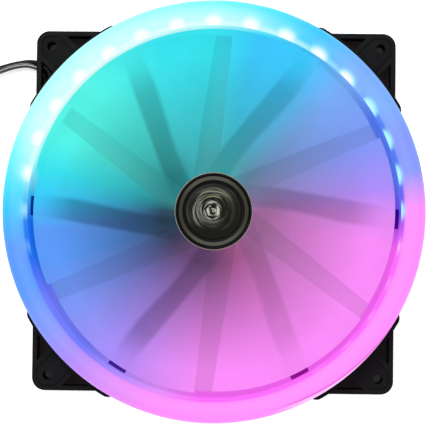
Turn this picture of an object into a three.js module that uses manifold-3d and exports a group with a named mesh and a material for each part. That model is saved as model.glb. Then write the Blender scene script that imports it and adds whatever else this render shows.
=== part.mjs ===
// A 200 mm case fan with a lit ring round its front, modelled as it comes apart on a bench.
// Millimetres. The fan lies on its back: +Z is the spin axis, towards the front, and Z = 0 is the rear
// mounting plane. The origin is the middle of that plane.
import * as THREE from "three";
import { mergeVertices } from "three/addons/utils/BufferGeometryUtils.js";
import Module from "manifold-3d";

const wasm = await Module();
wasm.setup();

// Driving dimensions.
const HOLE_SPACING = 154;
const HOLE_RADIUS = 2.2;
const HOLE_EDGE = 7;
const BLOCK_HALF = HOLE_SPACING / 2 + HOLE_EDGE;
const BLOCK_CORNER = 6;
const BLOCK_DEPTH = 12;
const FLANGE_RADIUS = 100;
const TOTAL_DEPTH = 30;
const RIM_WALL = 2.2;
const GAP = 0.3;

// Frame: duct, corner pockets and rear arms.
const DUCT_INNER = 87.6;
const DUCT_OUTER = 89.6;
const FLANGE_SPAN = 14.5;
const POCKET_FLOOR = 2.5;
const RIB_HALF = 8.3;
const PAD_HALF = 5.9;
const PAD_FLOOR = 8;
const PAD_THICKNESS = 2.6;
const ARM_COUNT = 6;
const ARM_START = -4.6;
const ARM_EDGES = [[9, 4.6, 14.6], [26, 4.2, 14.2], [42, 2.8, 13], [56, 1.2, 11.6], [70, 0.2, 10.2], [88.5, 0, 9]];
const ARM_BOTTOM = 0.8;
const ARM_TOP = 5;
const BASE_RADIUS = 18;
const BASE_TOP = 2.4;
const BASE_WALL = 1.2;
const POST_CIRCLE = 12.6;
const LEAD_RADIUS = 1;
const TRENCH_HALF = 1.5;
const TRENCH_TOP = 5.2;
const GUTTER_RADIUS = 91.7;
const GUTTER_OUTER = 94.5;

// Light ring.
const RING_INNER = 86.5;
const RING_OUTER = 97;
const RING_WALL = 1.4;
const RING_FLOOR = 13.7;
const RING_STEP = 18;
const RING_SHOULDER = 24.5;
const LIP_TOP = 17;
const LIP_WALL = 1.3;
const LINER_WALL = 0.8;
const LINER_FOOT = 7;
const LED_COUNT = 32;
const LED_START = 0.5;
const LED_HALF = 2.5;
const LED_HEIGHT = 1.4;
const LED_BOTTOM = 18.2;
const LED_TOP = 21.6;
const STRIP_INNER = 88.1;
const STRIP_THICKNESS = 0.5;
const STRIP_TOP = 22.4;
const BOSS_RADIUS = 2.3;
const SCREW_CIRCLE = 91.8;
const SCREW_ANGLE = 11;
const SCREW_RADIUS = 1.2;
const SCREW_HEAD = 2.4;
const SCREW_SEAT = 3.4;
const SCREW_TOP = 16.5;
const SCREW_DRIVE = 1.5;
const SCREW_DRIVE_HALF = 0.55;

// Rotor.
const BLADE_COUNT = 6;
const BLADE_START = 24.5;
const BLADE_GAP_ROOT = 11.5;
const BLADE_GAP_TIP = 8;
const BLADE_TIP = 83.8;
const BLADE_LOW = 8;
const BLADE_HIGH_ROOT = 18.4;
const BLADE_HIGH_TIP = 21;
const BLADE_THICKNESS = 1.8;
const HUB_RADIUS = 18;
const SLEEVE_INNER = 17;
const SLEEVE_BOTTOM = 5.6;
const SLEEVE_TOP = 19.7;
const CAP_TOP = 22;
const CAP_RECESS = 21;
const TRIM_INNER = 14.3;
const TRIM_OUTER = 16.5;
const BADGE_RADIUS = 12.8;
const SHAFT_RADIUS = 1.5;

// Motor.
const CORE_RADIUS = 12.3;
const CORE_BOTTOM = 9.5;
const CORE_TOP = 15.5;
const POLE_COUNT = 4;
const POLE_HALF = 2;
const TUBE_OUTER = 4.4;
const TUBE_INNER = 3.3;
const TUBE_TOP = 16.2;
const BOARD_BOTTOM = 3.9;
const BOARD_TOP = 4.9;

// Cables: two leads half a metre long, each wound into a round coil beyond the left side.
const CABLE_RADIUS = 1.2;
const COIL_INNER = 8.9;
const COIL_OUTER = 17.6;
const COIL_BOTTOM = 0.4;
const COIL_TOP = 5.3;
const TIE_WALL = 0.3;
const TIE_WIDTH = 4;
const POWER_EXIT = [-84.3, 67.3, 3.4];
const LIGHT_EXIT = [-84.3, 69.8, 3];
const POWER_ROUTE = [
  POWER_EXIT, [-87, 68.25, 3.4], [-90, 68.75, 3.35], [-93, 68.5, 3.3], [-96.5, 67.8, 3.25], [-100, 66.7, 3.2],
  [-104, 65.2, 2.85], [-108, 63.6, 2.05], [-112, 62, 1.45], [-115, 60.8, 1.25], [-117.5, 59.8, 1.25],
];
const LIGHT_ROUTE = [
  LIGHT_EXIT, [-87, 70.4, 2.1], [-90, 70.5, 1.5], [-93, 70.1, 1.25], [-96.5, 69.4, 1.22], [-100, 68.4, 1.22],
  [-104, 67.25, 1.22], [-108.2, 66.15, 1.22],
];
const POWER_COIL = [-121, 41.3];
const LIGHT_COIL = [-121, 80];
const POWER_TAIL = [
  [-139.8, 44.1, 3.7], [-141.6, 41.4, 3.3], [-143.2, 38.2, 2.95], [-144.5, 35, 2.85], [-145, 31.8, 2.85],
];
const LIGHT_TAIL = [
  [-138.4, 72.9, 3.6], [-141, 75.5, 3.2], [-143.4, 78.6, 2.95], [-144.7, 81.6, 2.85], [-145, 84, 2.85],
];
const PLUG = { width: 10.2, height: 5.6, length: 12.4, pins: 4, pitch: 2.54, pinHalf: 0.7 };

// Sides of the round forms, from the duct down to the screws.
const WIDE = 48;
const BROAD = 24;
const SMALL = 16;
const TINY = 10;

const radians = THREE.MathUtils.degToRad;
const fan = new THREE.Group();

function material(color, roughness, metalness = 0) {
  return new THREE.MeshStandardMaterial({ color, roughness, metalness });
}

function addPiece(name, shape, look) {
  const mesh = new THREE.Mesh(shape.isBufferGeometry ? shape : geometryOf(shape), look);
  mesh.name = name;
  fan.add(mesh);
  return mesh;
}

// Joining and cutting.
function solidOf(geometry) {
  const bare = geometry.clone();
  bare.deleteAttribute("normal");
  bare.deleteAttribute("uv");
  const merged = mergeVertices(bare, 1e-4);
  const vertProperties = new Float32Array(merged.attributes.position.array);
  const triVerts = new Uint32Array(merged.index.array);
  return new wasm.Manifold(new wasm.Mesh({ numProp: 3, vertProperties, triVerts }));
}

function geometryOf(solid) {
  const mesh = solid.getMesh();
  const geometry = new THREE.BufferGeometry();
  geometry.setAttribute("position", new THREE.BufferAttribute(mesh.vertProperties, 3));
  geometry.setIndex(new THREE.BufferAttribute(mesh.triVerts, 1));
  geometry.computeVertexNormals();
  return geometry;
}

function join(...solids) {
  return solids.reduce((whole, solid) => whole.add(solid));
}

function cut(solid, ...tools) {
  return tools.reduce((rest, tool) => rest.subtract(tool), solid);
}

// Basic forms, all as solids.
function turned(profile, segments) {
  const closed = profile[0][0] > 0 ? [...profile, profile[0]] : profile;
  const points = closed.map(([r, z]) => new THREE.Vector2(r, z));
  if (THREE.ShapeUtils.area(points) < 0) {
    points.reverse();
  }
  return solidOf(new THREE.LatheGeometry(points, segments).rotateX(Math.PI / 2));
}

function ring(inner, outer, bottom, top, segments) {
  return turned([[inner, bottom], [outer, bottom], [outer, top], [inner, top]], segments);
}

function disc(radius, bottom, top, segments) {
  return turned([[0, bottom], [radius, bottom], [radius, top], [0, top]], segments);
}

function raised(shape, bottom, top, curveSegments = 4) {
  const options = { depth: top - bottom, bevelEnabled: false, curveSegments };
  return solidOf(new THREE.ExtrudeGeometry(shape, options).translate(0, 0, bottom));
}

function box(low, high) {
  const size = high.map((value, axis) => value - low[axis]);
  const geometry = new THREE.BoxGeometry(...size);
  return solidOf(geometry.translate(...low.map((value, axis) => value + size[axis] / 2)));
}

function sector(inner, outer, from, to, bottom, top, segments) {
  const shape = new THREE.Shape();
  shape.absarc(0, 0, outer, radians(from), radians(to), false);
  shape.absarc(0, 0, inner, radians(to), radians(from), true);
  shape.closePath();
  return raised(shape, bottom, top, segments);
}

function roundedSquare(half, radius) {
  const flat = half - radius;
  const shape = new THREE.Shape();
  shape.absarc(flat, flat, radius, 0, Math.PI / 2, false);
  shape.absarc(-flat, flat, radius, Math.PI / 2, Math.PI, false);
  shape.absarc(-flat, -flat, radius, Math.PI, 1.5 * Math.PI, false);
  shape.absarc(flat, -flat, radius, 1.5 * Math.PI, 2 * Math.PI, false);
  shape.closePath();
  return shape;
}

// A straight slot with round ends between two points, half wide on each side.
function slot([ax, ay], [bx, by], half, bottom, top) {
  const along = Math.atan2(by - ay, bx - ax);
  const shape = new THREE.Shape();
  shape.absarc(bx, by, half, along - Math.PI / 2, along + Math.PI / 2, false);
  shape.absarc(ax, ay, half, along + Math.PI / 2, along + 1.5 * Math.PI, false);
  shape.closePath();
  return raised(shape, bottom, top, 2);
}

function turn(solid, degrees) {
  return solid.rotate([0, 0, degrees]);
}

function move(solid, x, y, z = 0) {
  return solid.translate([x, y, z]);
}

function polar(radius, degrees) {
  return [radius * Math.cos(radians(degrees)), radius * Math.sin(radians(degrees))];
}

// A round cable along a smooth curve through the given points.
function cable(points, radius, steps) {
  const places = points.map((point) => new THREE.Vector3(...point));
  const path = new THREE.CatmullRomCurve3(places, false, "centripetal");
  const section = new THREE.Shape();
  section.absarc(0, 0, radius, 0, 2 * Math.PI, false);
  return solidOf(new THREE.ExtrudeGeometry(section, { steps, extrudePath: path, curveSegments: 4 }));
}

// Positions shared by several pieces.
const cornerAngles = [45, 135, 225, 315];
const screwPlaces = cornerAngles.flatMap((angle) => [
  polar(SCREW_CIRCLE, angle - SCREW_ANGLE),
  polar(SCREW_CIRCLE, angle + SCREW_ANGLE),
]);
const leadArm = ARM_START + 180;

// Leads inside the frame, drawn before the frame so that their trenches follow them.
const motorLeadPoints = [
  ...ARM_EDGES.map(([along, near, far]) => {
    const [x, y] = polar(along, leadArm);
    const [sideX, sideY] = polar((near + far) / 2, leadArm + 90);
    return [x + sideX, y + sideY, along < 20 ? 2.8 : 2.1];
  }),
  ...[175, 170, 165, 160, 157].map((angle) => [...polar(GUTTER_RADIUS, angle), 2.4]),
  [-81.3, 46, 2.6], [-80.6, 53, 2.8], [-80.3, 59, 3], [-80.5, 64, 3.2], [-82, 66.7, 3.35], [-83.8, 67.25, 3.4],
];
const lightLeadPoints = [
  [-72.3, 58.5, 15.6], [-72.4, 58.6, 12], [-72.7, 59, 7], [-74, 60.6, 3.8], [-76.5, 63.8, 2.9],
  [-79.4, 68.2, 2.9], [-81.6, 69.5, 3], [-83.8, 69.8, 3],
];
const leadEntry = [-72.3, 58.5];

function cornerBlocks() {
  const square = raised(roundedSquare(BLOCK_HALF, BLOCK_CORNER), 0, BLOCK_DEPTH);
  return square.subtract(disc(DUCT_OUTER - 1, -1, BLOCK_DEPTH + 1, WIDE));
}

// What is cut out of one corner block, drawn for the block on the +X axis' diagonal.
function cornerPockets() {
  const outline = roundedSquare(BLOCK_HALF - RIM_WALL, BLOCK_CORNER - RIM_WALL);
  const inside = raised(outline, POCKET_FLOOR, BLOCK_DEPTH + 1);
  const keepOut = disc(FLANGE_RADIUS, 0, BLOCK_DEPTH + 2, WIDE);
  const ribs = turn(box([0, -RIB_HALF, 0], [130, RIB_HALF, BLOCK_DEPTH + 2]), 45);
  const quarter = box([40, 40, 0], [100, 100, BLOCK_DEPTH + 2]);
  const pockets = cut(inside, keepOut, ribs).intersect(quarter);
  const channel = turn(box([FLANGE_RADIUS, -PAD_HALF, PAD_FLOOR], [130, PAD_HALF, BLOCK_DEPTH + 2]), 45);
  return join(pockets, channel.intersect(inside));
}

function flange() {
  const span = sector(DUCT_OUTER - 1, FLANGE_RADIUS, -FLANGE_SPAN, FLANGE_SPAN, 0, BLOCK_DEPTH, 3);
  const lugRadius = 4.5;
  const lugs = [-FLANGE_SPAN, FLANGE_SPAN].map((angle) =>
    move(disc(lugRadius, 0, BLOCK_DEPTH, TINY), ...polar(FLANGE_RADIUS - lugRadius, angle)));
  return join(span, ...lugs);
}

// A rear arm, drawn along +X: it leaves the base off to one side and straightens towards the duct.
function arm() {
  const outline = [
    ...ARM_EDGES.map(([along, near]) => new THREE.Vector2(along, near)),
    ...ARM_EDGES.map(([along, , far]) => new THREE.Vector2(along, far)).reverse(),
  ];
  return raised(new THREE.Shape(outline), ARM_BOTTOM, ARM_TOP);
}

function motorBase() {
  const plate = disc(BASE_RADIUS, ARM_BOTTOM, BASE_TOP, BROAD);
  const wall = ring(BASE_RADIUS - BASE_WALL, BASE_RADIUS, ARM_BOTTOM, ARM_TOP, BROAD);
  const posts = [60, 240, 300].map((angle) =>
    move(disc(1, ARM_BOTTOM, BOARD_BOTTOM, 8), ...polar(POST_CIRCLE, angle)));
  const pocket = disc(TUBE_INNER - 0.3, 0, BASE_TOP + 1, SMALL);
  return join(plate, wall, ...posts).subtract(pocket);
}

// The trough outside the duct that the motor's lead lies in, open towards the rear.
function gutter() {
  const roof = sector(DUCT_OUTER - 1, GUTTER_OUTER, 148, 184, TRENCH_TOP, TRENCH_TOP + 1.4, 4);
  const lip = sector(GUTTER_OUTER - 1.2, GUTTER_OUTER, 148, 184, 0.6, TRENCH_TOP + 1, 4);
  return join(roof, lip);
}

function trenches() {
  const onDuct = ARM_EDGES.length - 1;
  const follow = (points, half, top = TRENCH_TOP) => points.slice(1).map((point, index) =>
    slot(points[index], point, half, -1, top));
  return [
    ...follow(motorLeadPoints.slice(0, onDuct + 1), TRENCH_HALF + 0.3, ARM_TOP - 1),
    ...follow(motorLeadPoints.slice(onDuct, onDuct + 7), TRENCH_HALF + 0.5),
    ...follow([...motorLeadPoints.slice(onDuct + 6), [-86, 67.5]], TRENCH_HALF),
    ...follow([...lightLeadPoints.slice(3), [-86, 70]], TRENCH_HALF),
    slot(leadEntry, lightLeadPoints[3], TRENCH_HALF, -1, BLOCK_DEPTH + 1),
  ];
}

function frame() {
  const duct = ring(DUCT_INNER, DUCT_OUTER, 0, BLOCK_DEPTH, WIDE);
  const flanges = cornerAngles.map((angle) => turn(flange(), angle));
  const arms = Array.from({ length: ARM_COUNT }, (_, k) => turn(arm(), ARM_START + k * 360 / ARM_COUNT));
  const bodyOpening = ring(BASE_RADIUS - BASE_WALL - 8, BASE_RADIUS - BASE_WALL, BASE_TOP, ARM_TOP + 1, BROAD);
  const armsOnBase = cut(join(...arms), bodyOpening);
  const blocks = cut(cornerBlocks(), ...[0, 90, 180, 270].map((angle) => turn(cornerPockets(), angle)));
  const whole = join(duct, blocks, ...flanges, gutter(), armsOnBase, motorBase());
  const holes = cornerAngles.map((angle) =>
    move(disc(HOLE_RADIUS, -1, BLOCK_DEPTH + 1, SMALL), ...polar(HOLE_SPACING * Math.SQRT1_2, angle)));
  const screwHoles = screwPlaces.map((place) => join(
    move(disc(SCREW_RADIUS + GAP, -1, BLOCK_DEPTH + 1, TINY), ...place),
    move(disc(SCREW_HEAD + GAP, -1, SCREW_SEAT, TINY), ...place)));
  return cut(whole, ...holes, ...screwHoles, ...trenches());
}

function cornerPad() {
  const edge = GAP / 2;
  const inset = RIM_WALL + edge;
  const outline = roundedSquare(BLOCK_HALF - inset, BLOCK_CORNER - inset);
  const inside = raised(outline, PAD_FLOOR, PAD_FLOOR + PAD_THICKNESS);
  const strip = turn(box([FLANGE_RADIUS + edge, -PAD_HALF + edge, 0], [130, PAD_HALF - edge, BLOCK_DEPTH]), 45);
  const hole = move(disc(HOLE_RADIUS, 0, BLOCK_DEPTH, SMALL), HOLE_SPACING / 2, HOLE_SPACING / 2);
  return inside.intersect(strip).subtract(hole);
}

function ringScrew() {
  const drive = [0, 90].map((angle) =>
    turn(box([-SCREW_DRIVE, -SCREW_DRIVE_HALF, 0], [SCREW_DRIVE, SCREW_DRIVE_HALF, SCREW_SEAT - 1]), angle));
  const screw = turned([
    [0, SCREW_SEAT - 1.8], [SCREW_HEAD, SCREW_SEAT - 1.8], [SCREW_HEAD, SCREW_SEAT], [SCREW_RADIUS, SCREW_SEAT],
    [SCREW_RADIUS, SCREW_TOP], [0, SCREW_TOP],
  ], TINY);
  return cut(screw, ...drive);
}

// A channel for the lights with a thin white liner that hangs down inside the duct.
function lightRingBase() {
  const lipOuter = RING_OUTER - RING_WALL - GAP;
  const channel = turned([
    [RING_INNER, LINER_FOOT], [RING_INNER + LINER_WALL, LINER_FOOT], [RING_INNER + LINER_WALL, BLOCK_DEPTH],
    [RING_OUTER, BLOCK_DEPTH], [RING_OUTER, RING_FLOOR], [lipOuter, RING_FLOOR], [lipOuter, LIP_TOP],
    [lipOuter - LIP_WALL, LIP_TOP], [lipOuter - LIP_WALL, RING_FLOOR], [RING_INNER + RING_WALL, RING_FLOOR],
    [RING_INNER + RING_WALL, RING_STEP], [RING_INNER, RING_STEP],
  ], WIDE);
  const bosses = screwPlaces.map((place) =>
    move(disc(BOSS_RADIUS, RING_FLOOR - 1, SCREW_TOP + 1.2, TINY), ...place));
  const bores = screwPlaces.map((place) => move(disc(SCREW_RADIUS + 0.05, 0, SCREW_TOP + 0.2, TINY), ...place));
  const leadHole = move(disc(TRENCH_HALF, 0, TOTAL_DEPTH, TINY), ...leadEntry);
  return cut(join(channel, ...bosses), ...bores, leadHole);
}

function ledStrip() {
  const outer = STRIP_INNER + STRIP_THICKNESS;
  const flat = outer * Math.cos(Math.PI / LED_COUNT / 2);
  const strip = ring(STRIP_INNER, outer, RING_FLOOR + GAP, STRIP_TOP, 2 * LED_COUNT);
  const chip = box([flat - 0.2, -LED_HALF, LED_BOTTOM], [flat + LED_HEIGHT, LED_HALF, LED_TOP]);
  const chips = Array.from({ length: LED_COUNT }, (_, k) => turn(chip, k * 360 / LED_COUNT));
  return turn(join(strip, ...chips), LED_START);
}

function diffuser() {
  const middle = (RING_INNER + RING_OUTER) / 2;
  const half = (RING_OUTER - RING_INNER) / 2;
  const rise = TOTAL_DEPTH - RING_SHOULDER;
  const arch = (halfWidth, height, steps) => Array.from({ length: steps + 1 }, (_, k) => {
    const angle = Math.PI * k / steps;
    return [middle + halfWidth * Math.cos(angle), RING_SHOULDER + height * Math.sin(angle)];
  });
  const innerFoot = RING_STEP + GAP;
  const outerFoot = RING_FLOOR + GAP;
  return turned([
    [RING_OUTER, outerFoot], ...arch(half, rise, 6),
    [RING_INNER, innerFoot], [RING_INNER + RING_WALL, innerFoot],
    ...arch(half - RING_WALL, rise - RING_WALL, 3).reverse(), [RING_OUTER - RING_WALL, outerFoot],
  ], WIDE);
}

// One blade: a subdivided slab bent so that it climbs from its trailing edge to its leading edge. Its
// leading edge is radial, and a slot that narrows towards the tip separates it from the next blade.
function blade() {
  const slab = new THREE.BoxGeometry(1, 1, 1, 3, 7, 1);
  const corners = slab.attributes.position;
  for (let i = 0; i < corners.count; i += 1) {
    const along = corners.getX(i) + 0.5;
    const across = corners.getY(i) + 0.5;
    const radius = THREE.MathUtils.lerp(SLEEVE_INNER + 0.4, BLADE_TIP, along);
    const gap = THREE.MathUtils.lerp(BLADE_GAP_ROOT, BLADE_GAP_TIP, along);
    const from = radians(BLADE_START) + Math.asin(gap / radius);
    const to = radians(BLADE_START + 360 / BLADE_COUNT);
    const angle = THREE.MathUtils.lerp(from, to, across);
    const high = THREE.MathUtils.lerp(BLADE_HIGH_ROOT, BLADE_HIGH_TIP, along);
    const climb = 1 - (1 - across) ** 1.6;
    const edge = Math.min(1, 0.45 + 4 * Math.min(across, 1 - across));
    const z = THREE.MathUtils.lerp(BLADE_LOW, high, climb) + corners.getZ(i) * BLADE_THICKNESS * edge;
    corners.setXYZ(i, radius * Math.cos(angle), radius * Math.sin(angle), z);
  }
  return solidOf(slab);
}

function impeller() {
  const sleeve = ring(SLEEVE_INNER, HUB_RADIUS, SLEEVE_BOTTOM, SLEEVE_TOP, BROAD);
  const blades = Array.from({ length: BLADE_COUNT }, (_, k) => turn(blade(), k * 360 / BLADE_COUNT));
  return join(sleeve, ...blades);
}

function hubCap() {
  const inner = SLEEVE_INNER - GAP;
  const boss = 3.2;
  return turned([
    [0, 19], [SHAFT_RADIUS + 0.05, 19], [SHAFT_RADIUS + 0.05, 16.8], [boss, 16.8], [boss, 20],
    [inner - 1, 20], [inner - 1, 8.2], [inner, 8.2], [inner, 20], [HUB_RADIUS - 0.3, 20], [HUB_RADIUS, 20.3],
    [HUB_RADIUS, CAP_TOP - 0.8], [HUB_RADIUS - 0.8, CAP_TOP], [TRIM_OUTER + 0.1, CAP_TOP],
    [TRIM_OUTER + 0.1, CAP_RECESS], [0, CAP_RECESS],
  ], BROAD);
}

function hubTrimRing() {
  return turned([
    [TRIM_INNER, CAP_RECESS], [TRIM_OUTER, CAP_RECESS], [TRIM_OUTER, CAP_TOP],
    [TRIM_OUTER - 0.4, CAP_TOP + 0.4], [TRIM_INNER + 0.4, CAP_TOP + 0.4], [TRIM_INNER, CAP_TOP],
  ], BROAD);
}

function hubBadge() {
  return turned([
    [0, CAP_RECESS], [BADGE_RADIUS, CAP_RECESS], [BADGE_RADIUS, 21.6], [BADGE_RADIUS - 0.4, 21.9],
    [9, 22], [0, 22.1],
  ], BROAD);
}

function rotorYoke() {
  return turned([
    [3.6, 18.9], [14.4, 18.9], [14.4, 9], [15.3, 9], [15.3, 19.7], [3.6, 19.7],
  ], BROAD);
}

function shaft() {
  return turned([
    [0, 3.4], [1.1, 3.4], [SHAFT_RADIUS, 3.7], [SHAFT_RADIUS, 3.9], [1.1, 3.9], [1.1, 4.5], [SHAFT_RADIUS, 4.5],
    [SHAFT_RADIUS, 18.7], [1.2, 18.95], [0, 18.95],
  ], SMALL);
}

function retainingClip() {
  const mouth = box([0, -0.8, 3], [4, 0.8, 6]);
  return cut(ring(1.15, 2.6, 4, 4.4, SMALL), mouth);
}

function statorCore() {
  const hub = ring(TUBE_OUTER + 0.2, 6.2, CORE_BOTTOM, CORE_TOP, SMALL);
  const poles = Array.from({ length: POLE_COUNT }, (_, k) => {
    const neck = box([5.8, -POLE_HALF, CORE_BOTTOM], [11, POLE_HALF, CORE_TOP]);
    const shoe = sector(10.6, CORE_RADIUS, -38, 38, CORE_BOTTOM, CORE_TOP, 3);
    return turn(join(neck, shoe), k * 360 / POLE_COUNT);
  });
  return join(hub, ...poles);
}

function bobbin(bottom, top) {
  const hub = ring(TUBE_OUTER + 0.2, 6.4, bottom, top, SMALL);
  const poles = Array.from({ length: POLE_COUNT }, (_, k) => {
    const neck = box([6, -POLE_HALF - 0.4, bottom], [10.6, POLE_HALF + 0.4, top]);
    const shoe = sector(10.4, CORE_RADIUS - 0.6, -26, 26, bottom, top, 2);
    return turn(join(neck, shoe), k * 360 / POLE_COUNT);
  });
  return join(hub, ...poles);
}

function coilWinding() {
  const outer = box([6.8, -4.3, 6.7], [9.3, 4.3, 18.3]);
  const inner = box([6, -POLE_HALF - 0.7, 8.2], [10, POLE_HALF + 0.7, 16.8]);
  return cut(outer, inner);
}

function motorBoard() {
  return cut(ring(4.9, 14.5, BOARD_BOTTOM, BOARD_TOP, BROAD), box([-16, -1.4, 0], [-12.6, 1.8, 6]));
}

function bearingTube() {
  return ring(TUBE_INNER, TUBE_OUTER, BASE_TOP, TUBE_TOP, SMALL);
}

function sleeveBearing() {
  return ring(SHAFT_RADIUS + 0.1, TUBE_INNER - 0.1, BOARD_TOP - 0.1, TUBE_TOP - 0.2, SMALL);
}

function cableCoil() {
  return ring(COIL_INNER, COIL_OUTER, COIL_BOTTOM, COIL_TOP, BROAD);
}

function coilTie([x, y], angle) {
  const loop = (wall, half) => box(
    [COIL_INNER - wall, -half, COIL_BOTTOM - TIE_WALL / 3 - wall + TIE_WALL],
    [COIL_OUTER + wall, half, COIL_TOP - TIE_WALL / 3 + wall]);
  return move(turn(loop(2 * TIE_WALL, TIE_WIDTH / 2).subtract(loop(TIE_WALL, TIE_WIDTH)), angle), x, y);
}

// A flat plug housing with one socket for each pin and a key rib on its upper side.
function plugHousing(ribs) {
  const { width, height, length, pins, pitch, pinHalf } = PLUG;
  const body = box([-width / 2, 0, 0.02], [width / 2, length, height]);
  const sockets = Array.from({ length: pins }, (_, k) => {
    const x = (k - (pins - 1) / 2) * pitch;
    return box([x - pinHalf, 1.5, height / 2 - pinHalf], [x + pinHalf, length + 1, height / 2 + pinHalf]);
  });
  const keys = ribs.map((x) => box([x - 0.5, 4, height - 0.1], [x + 0.5, length, height + 0.7]));
  const wireEntry = box([-2, -1, height / 2 - 1.4], [2, 1, height / 2 + 1.4]);
  return cut(join(body, ...keys), ...sockets, wireEntry);
}

const blackPlastic = () => material(0x1f1f21, 0.55);
const copper = () => material(0xa8602a, 0.4, 0.8);
const steel = () => material(0xb8bcc0, 0.35, 0.9);
const cableRubber = () => material(0x111113, 0.35);

// The part that stays still.
addPiece("frame", frame(), blackPlastic());
cornerAngles.forEach((_, k) => {
  addPiece(`corner_pad_${k + 1}`, turn(cornerPad(), 90 * k), material(0x18181a, 0.8));
});
screwPlaces.forEach(([x, y], k) => {
  addPiece(`ring_screw_${k + 1}`, move(ringScrew(), x, y), steel());
});
addPiece("light_ring_base", lightRingBase(), material(0xe8ecee, 0.5));
addPiece("led_strip", ledStrip(), material(0xf4f6f6, 0.5));
addPiece("light_ring_diffuser", diffuser(), material(0xbfe6ff, 0.35));
addPiece("bearing_tube", bearingTube(), material(0xb08d3c, 0.35, 0.8));
addPiece("sleeve_bearing", sleeveBearing(), material(0x8f6a3a, 0.5, 0.7));
addPiece("bearing_plug", disc(TUBE_INNER - 0.4, 1.2, 2.7, SMALL), blackPlastic());
addPiece("thrust_pad", disc(2, 2.8, 3.3, SMALL), material(0xf0efe6, 0.4));
addPiece("stator_core", statorCore(), material(0x6c7074, 0.45, 0.8));
addPiece("bobbin_upper", bobbin(CORE_TOP, CORE_TOP + 1), material(0xe9e4d4, 0.6));
addPiece("bobbin_lower", bobbin(CORE_BOTTOM - 1, CORE_BOTTOM), material(0xe9e4d4, 0.6));
Array.from({ length: POLE_COUNT }, (_, k) => {
  addPiece(`coil_${k + 1}`, turn(coilWinding(), k * 360 / POLE_COUNT), copper());
});
addPiece("motor_pcb", motorBoard(), material(0x1c5a36, 0.5));
addPiece("driver_ic", box([6.4, 6.4, BOARD_TOP], [11.4, 10.2, 6.3]), material(0x151515, 0.4));
addPiece("hall_sensor", box([-9.6, 6.4, BOARD_TOP], [-6.6, 9.4, 6.2]), material(0x202020, 0.4));
addPiece("rear_label", disc(16.5, 0.45, ARM_BOTTOM, BROAD), material(0xc9cccf, 0.6));
addPiece("motor_lead", cable(motorLeadPoints, LEAD_RADIUS, 36), cableRubber());
addPiece("light_lead", cable(lightLeadPoints, LEAD_RADIUS, 16), cableRubber());

// The two cables and what is on them.
addPiece("power_cable", cable(POWER_ROUTE, CABLE_RADIUS, 18), cableRubber());
addPiece("light_cable", cable(LIGHT_ROUTE, CABLE_RADIUS, 14), cableRubber());
addPiece("power_cable_coil", move(cableCoil(), ...POWER_COIL), cableRubber());
addPiece("light_cable_coil", move(cableCoil(), ...LIGHT_COIL), cableRubber());
addPiece("power_cable_tail", cable(POWER_TAIL, CABLE_RADIUS, 8), cableRubber());
addPiece("light_cable_tail", cable(LIGHT_TAIL, CABLE_RADIUS, 8), cableRubber());
addPiece("power_cable_tie", coilTie(POWER_COIL, 270), material(0x101010, 0.5));
addPiece("light_cable_tie", coilTie(LIGHT_COIL, 90), material(0x101010, 0.5));
addPiece("power_connector", move(turn(plugHousing([-2.4, 2.4]), 180), -145, 31.5), blackPlastic());
addPiece("light_connector", move(plugHousing([0]), -145, 84.3), blackPlastic());

// The part that turns.
addPiece("impeller", impeller(), material(0xcfe8f2, 0.3));
addPiece("hub_cap", hubCap(), material(0x141416, 0.35));
addPiece("hub_trim_ring", hubTrimRing(), material(0x77786c, 0.35, 0.6));
addPiece("hub_badge", hubBadge(), material(0xa8aaac, 0.25, 0.9));
addPiece("rotor_yoke", rotorYoke(), steel());
addPiece("rotor_magnet", ring(12.9, 14.3, 9.5, 17.8, BROAD), material(0x3a3530, 0.7));
addPiece("shaft", shaft(), steel());
addPiece("retaining_clip", retainingClip(), steel());

export default fan;
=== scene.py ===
"""A 200 mm case fan with a lit ring round its front, seen from the front on a white floor."""
import math

import bmesh
import bpy
from mathutils import Matrix, Vector


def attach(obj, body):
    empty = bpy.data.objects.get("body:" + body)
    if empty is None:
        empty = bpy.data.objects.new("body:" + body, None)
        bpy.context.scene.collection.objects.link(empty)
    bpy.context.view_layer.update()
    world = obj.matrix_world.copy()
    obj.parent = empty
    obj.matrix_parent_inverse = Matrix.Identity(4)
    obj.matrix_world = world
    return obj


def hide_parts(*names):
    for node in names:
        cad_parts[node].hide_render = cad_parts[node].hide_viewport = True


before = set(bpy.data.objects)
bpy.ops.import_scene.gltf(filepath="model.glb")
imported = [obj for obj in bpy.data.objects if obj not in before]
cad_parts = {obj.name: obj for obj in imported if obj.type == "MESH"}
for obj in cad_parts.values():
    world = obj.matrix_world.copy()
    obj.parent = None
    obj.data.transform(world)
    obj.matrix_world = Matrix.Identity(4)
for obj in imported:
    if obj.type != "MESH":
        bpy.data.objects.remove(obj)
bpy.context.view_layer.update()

scene = bpy.context.scene
scene.view_settings.view_transform = "Standard"

MM = 0.001
TAU = 2 * math.pi
STILL = "housing"
TURNING = "rotor"

# Dimensions shared with the CAD, in millimetres.
BLOCK_HALF, BLOCK_CORNER, BLOCK_DEPTH = 84, 6, 12
HOLE_PLACE, HOLE_RADIUS = 77, 2.2
RIM_WALL, POCKET_FLOOR, RIB_HALF = 2.2, 2.5, 8.3
PAD_HALF, PAD_FLOOR = 5.9, 8
DUCT_INNER, DUCT_OUTER = 87.6, 89.6
FLANGE_RADIUS, FLANGE_SPAN, LUG_RADIUS = 100, 14.5, 4.5
ARM_COUNT, ARM_START, ARM_BOTTOM, ARM_TOP = 6, -4.6, 0.8, 5
ARM_EDGES = ((9, 4.6, 14.6), (26, 4.2, 14.2), (42, 2.8, 13), (56, 1.2, 11.6), (70, 0.2, 10.2), (88.5, 0, 9))
BASE_RADIUS, BASE_TOP, BASE_WALL = 18, 2.4, 1.2
TRENCH_HALF, TRENCH_TOP, GUTTER_RADIUS, GUTTER_OUTER = 1.5, 5.2, 91.7, 94.5
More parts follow.
